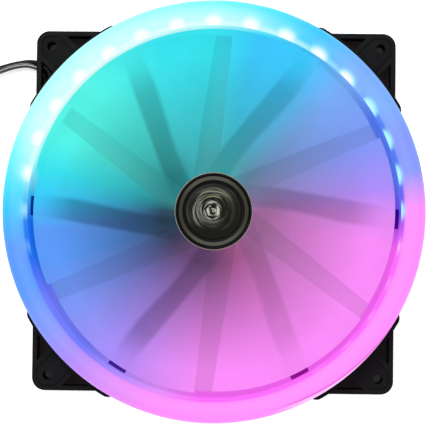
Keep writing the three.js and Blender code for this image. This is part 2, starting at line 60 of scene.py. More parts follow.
SCREW_CIRCLE, SCREW_ANGLE, SCREW_HEAD, SCREW_SEAT, SCREW_TOP = 91.8, 11, 2.4, 3.4, 16.5
RING_INNER, RING_OUTER, RING_WALL, RING_FLOOR = 86.5, 97, 1.4, 13.7
RING_STEP, RING_SHOULDER, RING_TOP = 18, 24.5, 30
LIP_TOP, LIP_WALL, LINER_FOOT, LINER_WALL = 17, 1.3, 7, 0.8
LED_COUNT, LED_START = 32, 0.5
BLADE_COUNT, BLADE_START, BLADE_ROOT, BLADE_TIP = 6, 24.5, 17.4, 83.8
BLADE_GAP_ROOT, BLADE_GAP_TIP = 11.5, 8
BLADE_LOW, BLADE_HIGH_ROOT, BLADE_HIGH_TIP, BLADE_THICKNESS = 8, 18.4, 21, 1.8
HUB_RADIUS, SLEEVE_INNER, SLEEVE_BOTTOM, SLEEVE_TOP = 18, 17, 5.6, 19.7
CAP_TOP, CAP_RECESS, CAP_UNDER = 22, 21, 20
SOCKET_INNER, SOCKET_OUTER, SOCKET_BOTTOM, SOCKET_TOP = 1.55, 3.2, 16.8, 19
SKIRT_INNER, SKIRT_OUTER, SKIRT_BOTTOM = 15.7, 16.7, 8.2
TRIM_INNER, TRIM_OUTER, BADGE_RADIUS = 14.3, 16.5, 12.8
CABLE_RADIUS = 1.2
CORNERS = (45, 135, 225, 315)
GAP, GUTTER_START, GUTTER_END = 0.3, 148, 184
SCREW_HOLE, SCREW_SINK, SCREW_SHANK, LEAD_RADIUS = 1.5, 2.7, 1.2, 1
LABEL_RADIUS, LABEL_LOW = 16.5, 0.45
PLUG_SPOTS = ((-145, 31.5), (-145, 84.3))

# Sizes of the visual pieces alone, in millimetres. The pads stand 0.9 mm prouder than their CAD solids, and
# the ring's liner 0.24 mm.
PAD_TOP, PAD_EDGE, PAD_ROUND = 11.5, 0.1, 0.15
LINER_TOP, FOOT_EDGE, SHAFT_HOLE, BORDER_RADIUS = RING_STEP + 0.24, 0.25, 2.9, 15.2
COIL_NEAR, COIL_FAR = 10.2, 16.3
CHIP_RADIUS, CHIP_HEIGHT = 88.6, 20.5
CREST_RADIUS, SEAM_LOW, SEAM_HIGH = 90.5, 94.4, 97
HUB_SHADE = (24, 75)
REACH = 130
CURVE_SIDES = 256


def polar(radius, degrees, z=0.0):
    return Vector((radius * math.cos(math.radians(degrees)), radius * math.sin(math.radians(degrees)), z))


def lerp(low, high, share):
    return low + (high - low) * share


def smooth(share):
    share = min(1.0, max(0.0, share))
    return share * share * (3 - 2 * share)


# Camera: above the fan's front, a little below the middle and to the right.
def look(aim, direction, distance, lens, roll):
    data = bpy.data.cameras.new("camera")
    data.lens = lens
    data.sensor_width = 36
    camera = bpy.data.objects.new("camera", data)
    scene.collection.objects.link(camera)
    back = Vector(direction).normalized()
    up = Vector((-math.sin(roll), math.cos(roll), 0))
    side = up.cross(back).normalized()
    up = back.cross(side)
    place = Vector(aim) + back * distance
    camera.matrix_world = Matrix((
        (side.x, up.x, back.x, place.x),
        (side.y, up.y, back.y, place.y),
        (side.z, up.z, back.z, place.z),
        (0, 0, 0, 1)))
    scene.camera = camera


look(aim=(0, -0.001, 0.012), direction=(0.02, -0.03, 1), distance=0.726, lens=130.9, roll=0.0116)


# Cords.
POWER_EXIT = (-84.3, 67.3, 3.4)
LIGHT_EXIT = (-84.3, 69.8, 3)
POWER_ROUTE = (
    POWER_EXIT,
    (-87, 68.25, 3.4), (-90, 68.75, 3.35), (-93, 68.5, 3.3), (-96.5, 67.8, 3.25), (-100, 66.7, 3.2),
    (-104, 65.2, 2.85), (-108, 63.6, 2.05), (-112, 62, 1.45), (-115, 60.8, 1.25), (-117.5, 59.8, 1.25),
    (-121.5, 58.3, 1.4),
)
LIGHT_ROUTE = (
    LIGHT_EXIT,
    (-87, 70.4, 2.1), (-90, 70.5, 1.5), (-93, 70.1, 1.25), (-96.5, 69.4, 1.22), (-100, 68.4, 1.22),
    (-104, 67.25, 1.22), (-108.2, 66.15, 1.22), (-112.3, 65.1, 1.4),
)
POWER_COIL = (-121, 41.3)
LIGHT_COIL = (-121, 80)
POWER_TAIL = (
    (-136.4, 48.2, 3.9), (-139.8, 44.1, 3.7), (-141.6, 41.4, 3.3), (-143.2, 38.2, 2.95), (-144.5, 35, 2.85),
    (-145, 31.8, 2.85), (-145, 30.9, 2.85),
)
LIGHT_TAIL = (
    (-134.6, 69.7, 3.85), (-138.4, 72.9, 3.6), (-141, 75.5, 3.2), (-143.4, 78.6, 2.95), (-144.7, 81.6, 2.85),
    (-145, 84, 2.85), (-145, 84.9, 2.85),
)
POINTS_PER_TURN = 20
LAYER_LOW, LAYER_HIGH = 1.6, 4.0
LAYER_RISE = 35


def coil(centre, start, swept, way):
    """Two flat layers of turns: inwards along the lower one, then up and outwards along the upper one."""
    count = round(swept / 360 * POINTS_PER_TURN)
    points = []
    for k in range(count + 1):
        share = k / count
        radius = lerp(COIL_NEAR, COIL_FAR, abs(1 - 2 * share))
        climb = smooth((swept * (share - 0.5) + LAYER_RISE) / (2 * LAYER_RISE))
        spot = polar(radius, start + way * swept * share, lerp(LAYER_LOW, LAYER_HIGH, climb))
        points.append(spot + Vector((*centre, 0)))
    return points


def cord_curve(name, points, radius, material):
    data = bpy.data.curves.new(name, "CURVE")
    data.dimensions = "3D"
    data.bevel_depth = radius * MM
    data.bevel_resolution = 5
    data.resolution_u = 5
    data.use_fill_caps = True
    spline = data.splines.new("BEZIER")
    spline.bezier_points.add(len(points) - 1)
    for knot, point in zip(spline.bezier_points, points):
        knot.co = Vector(point) * MM
        knot.handle_left_type = "AUTO"
        knot.handle_right_type = "AUTO"
    data.materials.append(material)
    obj = bpy.data.objects.new(name, data)
    scene.collection.objects.link(obj)
    return obj


# Node building for the materials.
class Look:
    """A material with one Principled shader and short ways to wire its inputs."""

    def __init__(self, name, color, roughness, metallic=0.0, specular=0.5):
        self.material = bpy.data.materials.new(name)
        self.material.use_nodes = True
        self.nodes = self.material.node_tree.nodes
        self.links = self.material.node_tree.links
        self.shader = self.nodes["Principled BSDF"]
        self.color = (*color, 1)
        self.set("Base Color", self.color)
        self.set("Roughness", roughness)
        self.set("Metallic", metallic)
        self.set("Specular IOR Level", specular)
        self.roughness = roughness
        self.position = None

    def set(self, socket, value):
        self.shader.inputs[socket].default_value = value
        return self

    def plug(self, value, socket):
        if isinstance(value, bpy.types.NodeSocket):
            self.links.new(value, socket)
        else:
            socket.default_value = value

    def math(self, operation, a, b=0.0, c=0.0):
        node = self.nodes.new("ShaderNodeMath")
        node.operation = operation
        for value, socket in zip((a, b, c), node.inputs):
            self.plug(value, socket)
        return node.outputs[0]

    def times(self, a, b):
        return self.math("MULTIPLY", a, b)

    def less(self, a, b):
        return self.math("SUBTRACT", a, b)

    def most(self, a, b):
        return self.math("MAXIMUM", a, b)

    def apart(self, a, b):
        return self.math("ABSOLUTE", self.less(a, b))

    def length(self, x, y):
        return self.math("SQRT", self.math("ADD", self.times(x, x), self.times(y, y)))

    def feed(self, name, value):
        """Plugs a value or a node's output into one of the shader's own sockets."""
        self.plug(value, self.shader.inputs[name])

    def fed(self, name):
        """What is plugged into one of the shader's own sockets."""
        return self.shader.inputs[name].links[0].from_socket

    def span(self, value, low, high, to_low=0.0, to_high=1.0, kind="SMOOTHSTEP"):
        node = self.nodes.new("ShaderNodeMapRange")
        node.interpolation_type = kind
        for entry, socket in zip((value, low, high, to_low, to_high), node.inputs):
            self.plug(entry, socket)
        return node.outputs[0]

    def fade(self, value, low, high, kind="SMOOTHSTEP"):
        return self.span(value, low, high, 1.0, 0.0, kind)

    def mix(self, share, a, b, kind="MIX"):
        node = self.nodes.new("ShaderNodeMix")
        node.data_type = "RGBA"
        node.blend_type = kind
        self.plug(share, node.inputs["Factor"])
        for value, socket in ((a, node.inputs[6]), (b, node.inputs[7])):
            self.plug((*value, 1) if isinstance(value, tuple) and len(value) == 3 else value, socket)
        return node.outputs[2]

    def tint(self, a, b):
        return self.mix(1.0, a, b, "MULTIPLY")

    def ramp(self, share, stops):
        node = self.nodes.new("ShaderNodeValToRGB")
        elements = node.color_ramp.elements
        while len(elements) < len(stops):
            elements.new(0.5)
        for element, (place, color) in zip(elements, stops):
            element.position = place
            element.color = (*color, 1) if hasattr(color, "__len__") else (color, color, color, 1)
        self.plug(share, node.inputs["Fac"])
        return node.outputs["Color"]

    def geometry(self, name):
        return self.nodes.new("ShaderNodeNewGeometry").outputs[name]

    def split(self, vector):
        node = self.nodes.new("ShaderNodeSeparateXYZ")
        self.links.new(vector, node.inputs[0])
        return node.outputs

    def place(self):
        """World position in millimetres, as three separate values."""
        if self.position is None:
            metres = self.split(self.geometry("Position"))
            self.position = tuple(self.times(value, 1 / MM) for value in metres)
        return self.position

    def own(self):
        return self.nodes.new("ShaderNodeTexCoord").outputs["Object"]

    def noise(self, scale, detail=3.0, where=None, rough=0.5):
        node = self.nodes.new("ShaderNodeTexNoise")
        node.inputs["Scale"].default_value = scale
        node.inputs["Detail"].default_value = detail
        node.inputs["Roughness"].default_value = rough
        self.links.new(where or self.own(), node.inputs["Vector"])
        return node.outputs["Fac"]

    def wave(self, scale, direction):
        node = self.nodes.new("ShaderNodeTexWave")
        node.bands_direction = direction
        node.inputs["Scale"].default_value = scale
        self.links.new(self.own(), node.inputs["Vector"])
        return node.outputs["Fac"]

    def vary_color(self, share, amount):
        """Lightens and darkens the colour by this much with a value from 0 to 1."""
        low = tuple(value * (1 - amount) for value in self.color[:3])
        high = tuple(min(1.0, value * (1 + amount)) for value in self.color[:3])
        self.feed("Base Color", self.mix(share, low, high))
        return self

    def vary_roughness(self, share, amount):
        low = max(0.02, self.roughness - amount)
        high = min(1.0, self.roughness + amount)
        self.feed("Roughness", self.span(share, 0.3, 0.7, low, high))
        return self

    def bump(self, height, strength, depth):
        node = self.nodes.new("ShaderNodeBump")
        node.inputs["Strength"].default_value = strength
        node.inputs["Distance"].default_value = depth * MM
        self.links.new(height, node.inputs["Height"])
        previous = self.shader.inputs["Normal"]
        if previous.is_linked:
            self.links.new(previous.links[0].from_socket, node.inputs["Normal"])
        self.links.new(node.outputs[0], self.shader.inputs["Normal"])
        return self


def grained(
        name, color, roughness, metallic=0.0, specular=0.5, grain=900, depth=0.04, strength=0.25, patch=0.12):
    """Moulded or cast stuff: a fine grain, slow patches of colour and an uneven gloss."""
    made = Look(name, color, roughness, metallic, specular)
    made.vary_color(made.noise(60, 3), patch)
    made.vary_roughness(made.noise(140, 4), 0.07)
    return made.bump(made.noise(grain, 4, rough=0.6), strength, depth)


def brushed(name, color, roughness, turns, metallic, patch=0.25):
    """Spun metal: fine rings round the spin axis."""
    made = Look(name, color, roughness, metallic)
    x, y, _ = made.place()
    radius = made.length(x, y)
    lines = made.nodes.new("ShaderNodeTexNoise")
    lines.noise_dimensions = "1D"
    lines.inputs["Scale"].default_value = turns * MM
    lines.inputs["Detail"].default_value = 5
    made.links.new(radius, lines.inputs["W"])
    grooves = lines.outputs["Fac"]
    return made.vary_color(grooves, patch).vary_roughness(grooves, 0.1).bump(grooves, 0.35, 0.02)


# Mesh building. Outlines and solids are in millimetres.
def rounded(points, radius, steps=4):
    """A closed outline with its corners rounded, apart from those on the axis.

    A third value of a point is that corner's own radius.
    """
    result = []
    for k, point in enumerate(points):
        here = Vector(point[:2])
        size = point[2] if len(point) > 2 else radius
        back = Vector(points[k - 1][:2]) - here
        ahead = Vector(points[(k + 1) % len(points)][:2]) - here
        sharp = here.x < 1e-6 or size <= 0 or min(back.length, ahead.length) < 1e-6
        half = 0 if sharp else max(0.05, back.angle(ahead) / 2)
        if sharp or half > math.pi / 2 - 0.03:
            result.append(tuple(here))
            continue
        reach = min(size / math.tan(half), 0.45 * back.length, 0.45 * ahead.length)
        first = here + back.normalized() * reach
        last = here + ahead.normalized() * reach
        for step in range(steps + 1):
            u = step / steps
            spot = first * (1 - u) ** 2 + here * (2 * u * (1 - u)) + last * u ** 2
            result.append(tuple(spot))
    return result


def turned(profile, segments=192, fillet=0.3, steps=3):
    """A solid of revolution round the Z axis."""
    profile = rounded(profile, fillet, steps) if fillet else profile
    solid = bmesh.new()
    rings = []
    for r, z in profile:
        if r < 1e-6:
            rings.append([solid.verts.new((0, 0, z))])
        else:
            rings.append([solid.verts.new(polar(r, 360 * k / segments, z)) for k in range(segments)])
    for low, high in zip(rings, rings[1:] + rings[:1]):
        if len(low) == 1 and len(high) == 1:
            continue
        for k in range(segments):
            after = (k + 1) % segments
            loop = [low[k % len(low)], low[after % len(low)], high[after % len(high)], high[k % len(high)]]
            solid.faces.new(dict.fromkeys(loop))
    bmesh.ops.recalc_face_normals(solid, faces=solid.faces)
    return solid


def prism(outline, bottom, top):
    solid = bmesh.new()
    low = [solid.verts.new((x, y, bottom)) for x, y in outline]
    high = [solid.verts.new((x, y, top)) for x, y in outline]
    solid.faces.new(low)
    solid.faces.new(high)
    for k in range(len(outline)):
        after = (k + 1) % len(outline)
        solid.faces.new((low[k], low[after], high[after], high[k]))
    bmesh.ops.recalc_face_normals(solid, faces=solid.faces)
    return solid


def oblong(left, near, right, far):
    return [(left, near), (right, near), (right, far), (left, far)]


def brick(low, high):
    return prism(oblong(*low[:2], *high[:2]), low[2], high[2])


def disc(radius, bottom, top, segments=64, centre=(0, 0)):
    spots = [polar(radius, 360 * k / segments) for k in range(segments)]
    return prism([(spot.x + centre[0], spot.y + centre[1]) for spot in spots], bottom, top)


def arc(radius, start, end, steps):
    return [tuple(polar(radius, lerp(start, end, k / steps)).xy) for k in range(steps + 1)]


def sector(inner, outer, start, end, bottom, top, steps=48):
    return prism(arc(outer, start, end, steps) + arc(inner, end, start, steps), bottom, top)


def rounded_square(half, radius, steps=12):
    corners = [(half, half), (-half, half), (-half, -half), (half, -half)]
    return [
        (math.copysign(half - radius, x) + spot[0], math.copysign(half - radius, y) + spot[1])
        for (x, y), start in zip(corners, (0, 90, 180, 270))
        for spot in arc(radius, start, start + 90, steps)
    ]


def spun(solid, degrees):
    """The same solid, turned round the Z axis."""
    turn = Matrix.Rotation(math.radians(degrees), 3, "Z")
    bmesh.ops.rotate(solid, verts=solid.verts, cent=(0, 0, 0), matrix=turn)
    return solid


def moved(solid, x, y, z=0):
    bmesh.ops.translate(solid, verts=solid.verts, vec=(x, y, z))
    return solid


def as_mesh(solid, name="solid"):
    mesh = bpy.data.meshes.new(name)
    solid.to_mesh(mesh)
    solid.free()
    return mesh


def combined(base, *steps):
    """A solid after these (operation, solid) steps, in order."""
    host = bpy.data.objects.new("host", as_mesh(base))
    scene.collection.objects.link(host)
    tools = []
    for operation, solid in steps:
        tool = bpy.data.objects.new("tool", as_mesh(solid))
        scene.collection.objects.link(tool)
        change = host.modifiers.new(operation, "BOOLEAN")
        change.operation = operation
        change.solver = "MANIFOLD"
        change.object = tool
        tools.append(tool)
    bpy.context.view_layer.update()
    shown = host.evaluated_get(bpy.context.evaluated_depsgraph_get())
    mesh = bpy.data.meshes.new_from_object(shown)
    result = bmesh.new()
    result.from_mesh(mesh)
    bpy.data.meshes.remove(mesh)
    for obj in (host, *tools):
        data = obj.data
        bpy.data.objects.remove(obj)
        bpy.data.meshes.remove(data)
    return result


def cut(base, *tools):
    return combined(base, *(("DIFFERENCE", tool) for tool in tools))


def joined(base, *others):
    return combined(base, *(("UNION", other) for other in others))


def piece(name, solid, look, stands_for, body=STILL, sharp=35, bevel=0.0):
    """A finished object from a solid: in metres, smooth but for its sharp edges, and riding on its body."""
    bmesh.ops.scale(solid, verts=solid.verts, vec=(MM, MM, MM))
    if bevel:
        bmesh.ops.remove_doubles(solid, verts=solid.verts, dist=0.00001)
        bmesh.ops.dissolve_limit(
            solid, angle_limit=math.radians(1), verts=solid.verts, edges=solid.edges, delimit={"NORMAL"})
    mesh = as_mesh(solid, name)
    mesh.shade_smooth()
    mesh.set_sharp_from_angle(angle=math.radians(sharp))
    mesh.materials.append(look.material)
    obj = bpy.data.objects.new(name, mesh)
    scene.collection.objects.link(obj)
    if bevel:
        edge = obj.modifiers.new("edges", "BEVEL")
        edge.width = bevel * MM
        edge.segments = 2
        edge.limit_method = "ANGLE"
        edge.angle_limit = math.radians(40)
        edge.harden_normals = True
    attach(obj, body)
    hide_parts(stands_for)
    return obj


def srgb(*levels):
    """Linear values of a colour given in display levels from 0 to 255, all of them above 10."""
    return tuple(((level / 255 + 0.055) / 1.055) ** 2.4 for level in levels)


# Colours of the light. The lists place them round the axis, in shares of a turn from the right.
PINK = srgb(253, 143, 252)
ORCHID = srgb(226, 144, 250)
VIOLET = srgb(176, 141, 250)
PERIWINKLE = srgb(132, 153, 250)
CORNFLOWER = srgb(122, 174, 250)
BLUE = srgb(92, 156, 252)
SKY = srgb(58, 200, 252)
CYAN = srgb(86, 232, 252)
TURQUOISE = srgb(56, 228, 240)
AQUA = srgb(122, 251, 252)
MINT = srgb(84, 244, 231)
ICE = srgb(178, 253, 252)
MAUVE = srgb(163, 106, 156)
DUSK = srgb(142, 128, 176)
SLATE = srgb(102, 138, 170)
TEAL = srgb(66, 172, 178)
SEA = srgb(45, 143, 147)
DEEP = srgb(48, 76, 98)
NIGHT = srgb(66, 67, 100)
PLUM = srgb(104, 73, 116)
ROSE = srgb(160, 87, 138)
WHITE = (1, 1, 1)
BLACK = (0, 0, 0)
INDIGO = srgb(110, 70, 235)
ROYAL = srgb(80, 120, 242)
AZURE = srgb(64, 190, 242)
COBALT = srgb(15, 105, 238)
IRIS = srgb(112, 122, 250)
FUCHSIA = srgb(250, 104, 248)
MAGENTA = srgb(225, 40, 190)
BLUSH = srgb(254, 190, 252)
FROST = srgb(232, 255, 254)

RING_COLORS = (
    (0.0, PINK), (0.003, PINK), (0.033, PERIWINKLE), (0.06, PERIWINKLE), (0.09, CORNFLOWER),
    (0.125, CORNFLOWER), (0.165, SKY), (0.208, CYAN), (0.25, AQUA), (0.34, ICE), (0.43, ICE), (0.455, AQUA),
    (0.475, CYAN), (0.5, SKY), (0.53, BLUE), (0.565, BLUE), (0.6, PERIWINKLE), (0.63, VIOLET),
    (0.667, ORCHID), (0.7, PINK), (1.0, PINK),
)
BLADE_COLORS = (
    (0.0, ORCHID), (0.022, VIOLET), (0.066, PERIWINKLE), (0.125, CORNFLOWER), (0.165, SKY), (0.21, SKY),
    (0.25, TURQUOISE), (0.3, TURQUOISE), (0.375, MINT), (0.43, MINT), (0.462, TURQUOISE), (0.49, SKY),
    (0.52, BLUE), (0.55, BLUE), (0.6, PERIWINKLE), (0.66, VIOLET), (0.705, ORCHID), (0.74, PINK),
    (0.97, PINK), (1.0, ORCHID),
)
WALL_COLORS = (
    (0.0, INDIGO), (0.03, ROYAL), (0.085, ROYAL), (0.125, CORNFLOWER), (0.165, AZURE), (0.208, CYAN),
    (0.25, ICE), (0.33, FROST), (0.42, FROST), (0.458, ICE), (0.485, AZURE), (0.51, COBALT), (0.54, COBALT),
    (0.58, IRIS), (0.63, IRIS), (0.67, VIOLET), (0.705, ORCHID), (0.74, FUCHSIA), (0.97, FUCHSIA),
    (1.0, INDIGO),
)
HUB_COLORS = (
    (0.0, MAUVE), (0.045, DUSK), (0.125, SLATE), (0.2, TEAL), (0.31, TEAL), (0.39, SEA), (0.46, SEA),
    (0.5, DEEP), (0.55, DEEP), (0.59, NIGHT), (0.66, PLUM), (0.73, PLUM), (0.82, ROSE), (0.9, MAUVE),
    (1.0, MAUVE),
)


def around(look):
    """World angle round the axis in shares of a turn, then distance from it and height in millimetres."""
    x, y, z = look.place()
    angle = look.math("ARCTAN2", y, x)
    share = look.math("FRACT", look.math("ADD", look.math("DIVIDE", angle, TAU), 1.0))
    return share, look.length(x, y), z


def bump_round(look, share, centre, half, soft):
    """1 near an angle and 0 away from it, both as shares of a turn, with soft sides."""
    away = look.apart(look.math("FRACT", look.math("ADD", share, 1.5 - centre)), 0.5)
    return look.fade(away, half, half + soft)


def led_spots(look, share, radius, z):
    """Bright spots where the light chips are, widest at the upper left and gone at the lower left."""
    step = look.math("FRACT", look.math("MULTIPLY_ADD", share, LED_COUNT, 0.5 - LED_START * LED_COUNT / 360))
    side = look.apart(step, 0.5)
    distance = look.length(look.less(radius, CHIP_RADIUS), look.less(z, CHIP_HEIGHT))
    strong = bump_round(look, share, 0.34, 0.08, 0.24)
    level = look.ramp(share, (
        (0.0, 0.6), (0.03, 0.85), (0.1, 1.0), (0.46, 1.0), (0.49, 0.4), (0.53, 0.2), (0.56, 0.0), (0.8, 0.0),
        (0.86, 0.2), (0.96, 0.3), (1.0, 0.6)))
    width = look.span(strong, 0, 1, 0.42, 0.5, "LINEAR")
    across = look.fade(look.math("DIVIDE", side, width), 0.0, 1.0)
    near = look.span(strong, 0, 1, 4.4, 6.6, "LINEAR")
    far = look.span(strong, 0, 1, 9.3, 11.6, "LINEAR")
    spot = look.times(across, look.fade(distance, near, far))
    between = look.times(look.span(distance, 6, 9.3, 0.55, 0.0), strong)
    return look.times(look.most(spot, between), level)


def ring_light(made, share, radius):
    """The light's colour in the ring, paler towards the chips on the upper side."""
    near = made.span(radius, RING_INNER, RING_OUTER - 2, 0.55, 0.0, "LINEAR")
    upper = bump_round(made, share, 0.335, 0.1, 0.06)
    crest = made.span(made.apart(radius, CREST_RADIUS), 0.5, 4.5, 0.04, 0.0)
    pale = made.most(made.times(near, upper), crest)
    face = made.mix(pale, made.ramp(share, RING_COLORS), WHITE)
    wall = made.fade(radius, RING_INNER + 0.1, RING_INNER + 1.3)
    return made.mix(wall, face, made.ramp(share, WALL_COLORS))


def blade_light(made, share, radius):
    """The light's colour on the blades: bright by the ring, dull and greyer by the hub."""
    near = made.fade(radius, *HUB_SHADE, "LINEAR")
    return made.mix(near, made.ramp(share, BLADE_COLORS), made.ramp(share, HUB_COLORS))


def glow(made, color, strength, own_share):
    """Lights a surface from within with a colour, and lets it take a little of the room's light."""
    made.feed("Emission Color", color)
    made.set("Emission Strength", strength)
    made.feed("Base Color", made.mix(own_share, BLACK, color))
    return made


def ring_look():
    """Milky plastic in front of the chips, with a fine seam near its outer edge."""
    made = Look("lit_diffuser", (0.8, 0.8, 0.8), 0.55, specular=0.1)
    share, radius, z = around(made)
    color = ring_light(made, share, radius)
    seam = made.span(share, 0.81, 0.92, SEAM_LOW, SEAM_HIGH, "LINEAR")
    low_right = made.times(made.span(share, 0.79, 0.83), made.fade(share, 0.9, 0.93))
    low_right = made.times(low_right, made.span(z, 23, 27))
    outside = made.times(made.span(made.less(radius, seam), 0.2, 0.6), low_right)
    color = made.mix(made.times(outside, 0.35), color, WHITE)
    crease = made.fade(made.apart(radius, seam), 0.1, 0.7)
    color = made.mix(made.times(made.times(crease, low_right), 0.55), color, MAGENTA)
    spots = led_spots(made, share, radius, z)
    halo = made.ramp(share, ((0.0, ICE), (0.6, ICE), (0.75, BLUSH), (0.97, BLUSH), (1.0, ICE)))
    color = made.mix(made.span(spots, 0, 0.5, 0.0, 0.7), color, halo)
    core = made.ramp(share, ((0.0, ICE), (0.09, ICE), (0.13, WHITE), (0.95, WHITE), (1.0, ICE)))
    color = made.mix(made.span(spots, 0.2, 0.9), color, core)
    foot = made.span(z, 13.5, 19, 0.5, 1.0)
    lit = made.times(foot, made.span(made.noise(40, 3), 0.3, 0.7, 0.97, 1.0))
    glow(made, made.tint(color, made.mix(lit, BLACK, WHITE)), 0.95, 0.08)
    made.bump(made.noise(700, 3), 0.08, 0.03)
    return made.vary_roughness(made.noise(160, 3), 0.08)


def arm_shade(made, share, radius):
    """1 over a rear arm and 0 between them, soft sided."""
    lead = 0.25
    turns = made.math("MULTIPLY_ADD", share, ARM_COUNT, lead - ARM_START * ARM_COUNT / 360)
    angle = made.times(made.less(made.math("FRACT", turns), lead), TAU / ARM_COUNT)
    across = made.times(made.math("SINE", angle), radius)
    near = made.less(across, made.span(radius, 28, 70, 4.4, 0.2))
    far = made.less(across, made.span(radius, 26, 88, 14.2, 9.0, "LINEAR"))
    return made.times(made.span(near, -1.8, 1.2), made.fade(far, -1.5, 1))


def blade_look():
    """Frosted blades that catch the ring's light, darker where a rear arm keeps it off."""
    made = Look("lit_blades", (0.8, 0.8, 0.8), 0.55, specular=0.05)
    share, radius, _ = around(made)
    color = blade_light(made, share, radius)
    outward = made.span(radius, 20, 84, 0.0, 1.0, "LINEAR")
    depth = made.ramp(outward, ((0.0, 0.25), (0.3, 0.36), (0.7, 0.32), (0.88, 0.1), (1.0, 0.0)))
    place = made.ramp(share, (
        (0.0, 0.9), (0.17, 0.8), (0.33, 1.0), (0.5, 1.35), (0.67, 1.1), (0.83, 0.5), (1.0, 0.9)))
    shade = made.times(made.times(arm_shade(made, share, radius), depth), place)
    cloudy = made.span(made.noise(45, 3), 0.3, 0.7, 0.94, 1.0)
    lit = made.times(made.less(1.0, shade), cloudy)
    glow(made, made.tint(color, made.mix(lit, BLACK, WHITE)), 0.94, 0.06)
    made.set("Alpha", 0.9)
    made.bump(made.noise(500, 3), 0.06, 0.03)
    return made.vary_roughness(made.noise(120, 3), 0.08)


def base_look():
    """The ring's base and its liner: white plastic, lit through from the inside."""
    made = Look("lit_base", (0.8, 0.8, 0.8), 0.5, specular=0.2)
    share, radius, z = around(made)
    inside = made.span(radius, 87.4, 89, 1.0, 0.15)
    height = made.span(z, 6, 18, 0.75, 1.0, "LINEAR")
    lit = made.mix(made.times(inside, height), BLACK, WHITE)
    glow(made, made.tint(made.ramp(share, WALL_COLORS), lit), 0.9, 0.12)
    made.vary_roughness(made.noise(160, 3), 0.08)
    return made.bump(made.noise(600, 3), 0.1, 0.03)


ARM_LOSS = 0.26
POCKET_GLOW = (0.008, 0.0052, 0.0062)


def frame_look():
    """Grained black plastic, with painted light on the front of the rear arms and on the pocket floors, and
    painted shade that darkens it beside the ring.
    """
    made = grained(
        "frame_black", (0.0045, 0.0044, 0.0048), 0.58, specular=0.1, grain=1100, depth=0.05, strength=0.35)
    share, radius, z = around(made)
    facing = made.span(made.split(made.geometry("Normal"))[2], 0.3, 0.7)
    upper = bump_round(made, share, 0.27, 0.17, 0.02)
    wall = made.ramp(share, WALL_COLORS)
    light = blade_light(made, share, radius)
    dark_tip = made.tint(made.tint(wall, wall), (0.3, 0.16, 0.3))
    color = made.mix(
        made.span(radius, 82.5, 84), made.mix(ARM_LOSS, light, BLACK),
        made.mix(upper, dark_tip, light))
    below = made.fade(z, BLOCK_DEPTH - 1.5, BLOCK_DEPTH - 0.5)
    pocket = made.times(below, made.span(radius, RING_OUTER, RING_OUTER + 1))
    # Painted light: the fronts of the rear arms take the blades' light, and the pocket floors a faint glow.
    made.feed("Emission Color", made.mix(pocket, color, POCKET_GLOW))
    lit = made.most(pocket, made.fade(radius, DUCT_INNER - 0.6, DUCT_INNER))
    made.feed("Emission Strength", made.times(facing, lit))
    # Painted shade: the base colour darkens towards the ring's outer edge.
    beside = made.span(radius, RING_OUTER, RING_OUTER + 5, 0.7, 0.0)
    made.feed("Base Color", made.mix(beside, made.fed("Base Color"), (0.0008, 0.0008, 0.001)))
    return made


# Materials.
black_plastic = frame_look()
pad_rubber = grained(
    "pad_rubber", (0.0042, 0.004, 0.0044), 0.7, specular=0.12, grain=1500, depth=0.05, strength=0.5)
cable_looks = {}
for name, rough, specular, gloss in (
        ("power", 0.2, 0.8, 1.0), ("light", 0.34, 0.16, 0.0), ("lead", 0.6, 0.05, 0.0)):
    cable = Look(f"{name}_cable_black", (0.004, 0.004, 0.0046), rough, specular=specular)
    cable.vary_color(cable.noise(300, 3), 0.2).vary_roughness(cable.noise(400, 3), 0.06)
    cable.bump(cable.noise(500, 2), 0.12, 0.04).set("Coat Weight", gloss).set("Coat Roughness", 0.1)
    cable_looks[name] = cable.material
connector_look = grained("connector_black", (0.012, 0.012, 0.013), 0.4, specular=0.4, grain=1300, depth=0.03)
tie_look = grained("tie_black", (0.012, 0.012, 0.012), 0.45, specular=0.4, grain=900, depth=0.03)
tie_look.bump(tie_look.wave(350, "Y"), 0.4, 0.08)

# Floor and light.
FLOOR_HALF, FLOOR_THICK = 6, 0.004
# Painted shade: the floor's colour under the ring.
UNDER_RING = (0.02, 0.019, 0.02)


def floor_look():
    """A pale, evenly glowing floor, with painted light under the fan, the colours that would fall through it,
    and painted shade under the ring and the corner blocks.
    """
    made = Look("floor", (0.86, 0.86, 0.86), 0.75, specular=0.2)
    share, radius, z = around(made)
    x, y, _ = made.place()
    across, along = made.math("ABSOLUTE", x), made.math("ABSOLUTE", y)
    # Painted shade: under the ring and the corner blocks the floor's glow gives way to dark colours.
    under_ring = made.fade(radius, 90, RING_OUTER)
    under_block = made.times(
        made.fade(made.most(across, along), BLOCK_HALF, BLOCK_HALF + 1.2),
        made.fade(made.math("ADD", across, along), 163, 165))
    under = made.times(made.most(under_ring, under_block), made.span(z, -2, -1))
    light = blade_light(made, share, radius)
    dim = made.mix(0.15, made.ramp(share, WALL_COLORS), BLACK)
    beyond = made.mix(bump_round(made, share, 0.31, 0.15, 0.02), dim, light)
    spill = made.mix(made.span(radius, 83.5, 85.5), made.mix(0.2, light, BLACK), beyond)
    spill = made.mix(under_ring, UNDER_RING, spill)
    made.feed("Emission Color", made.mix(under, (0.62, 0.62, 0.62), spill))
    made.feed("Base Color", made.mix(under, (0.86, 0.86, 0.86), (0.012, 0.012, 0.012)))
    return made.set("Emission Strength", 1.0)


floor_mesh = as_mesh(brick((-FLOOR_HALF, -FLOOR_HALF, -FLOOR_THICK), (FLOOR_HALF, FLOOR_HALF, 0)), "floor")
floor_mesh.materials.append(floor_look().material)
floor = bpy.data.objects.new("floor", floor_mesh)
scene.collection.objects.link(floor)

world = bpy.data.worlds.new("studio")
scene.world = world
world.use_nodes = True
background = world.node_tree.nodes["Background"].inputs
background["Color"].default_value = (1, 1, 1, 1)
background["Strength"].default_value = 0.45


